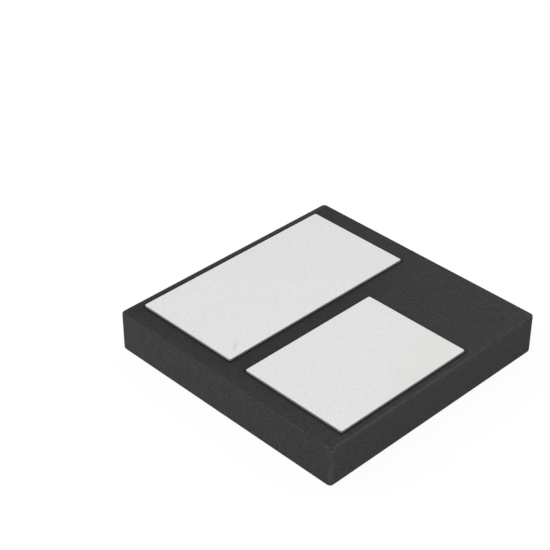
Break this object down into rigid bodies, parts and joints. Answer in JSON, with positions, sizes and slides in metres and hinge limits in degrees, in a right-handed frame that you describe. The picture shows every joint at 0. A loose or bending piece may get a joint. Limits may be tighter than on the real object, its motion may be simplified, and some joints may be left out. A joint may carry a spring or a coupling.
{
  "type": "integrated circuit",
  "caption": "Square flat moulded integrated circuit package with large and small tin-plated contact pads on one face and a plain opposite face.",
  "frame": {"origin": "middle of the plain face, which the package rests on", "axes": "+Z out of the contact face, +X from the ground contact to the data contact, +Y along the contacts towards the end where the data contact stops short"},
  "size_m": [0.006, 0.006, 0.001],
  "materials": {
    "moulding_compound": "fine spark-eroded matte, dark grey to black",
    "copper_leadframe": "rolled copper alloy, satin",
    "matte_tin": "matte electroplated tin, light grey",
    "silver_epoxy": "silver-filled epoxy, matte grey",
    "silicon": "polished silicon, dark blue grey",
    "bond_pad_aluminium": "bare aluminium film",
    "silver_spot": "matte silver plating",
    "gold_wire": "drawn gold"
  },
  "bodies": {
    "root": {"mould_body": "moulding_compound", "ground_land": "copper_leadframe", "data_land": "copper_leadframe", "ground_plating": "matte_tin", "data_plating": "matte_tin", "die_attach": "silver_epoxy", "die": "silicon", "data_bond_pad": "bond_pad_aluminium", "ground_bond_pad": "bond_pad_aluminium", "data_bond_spot": "silver_spot", "ground_bond_spot": "silver_spot", "data_bond_wire": "gold_wire", "ground_bond_wire": "gold_wire"}
  },
  "joints": []
}
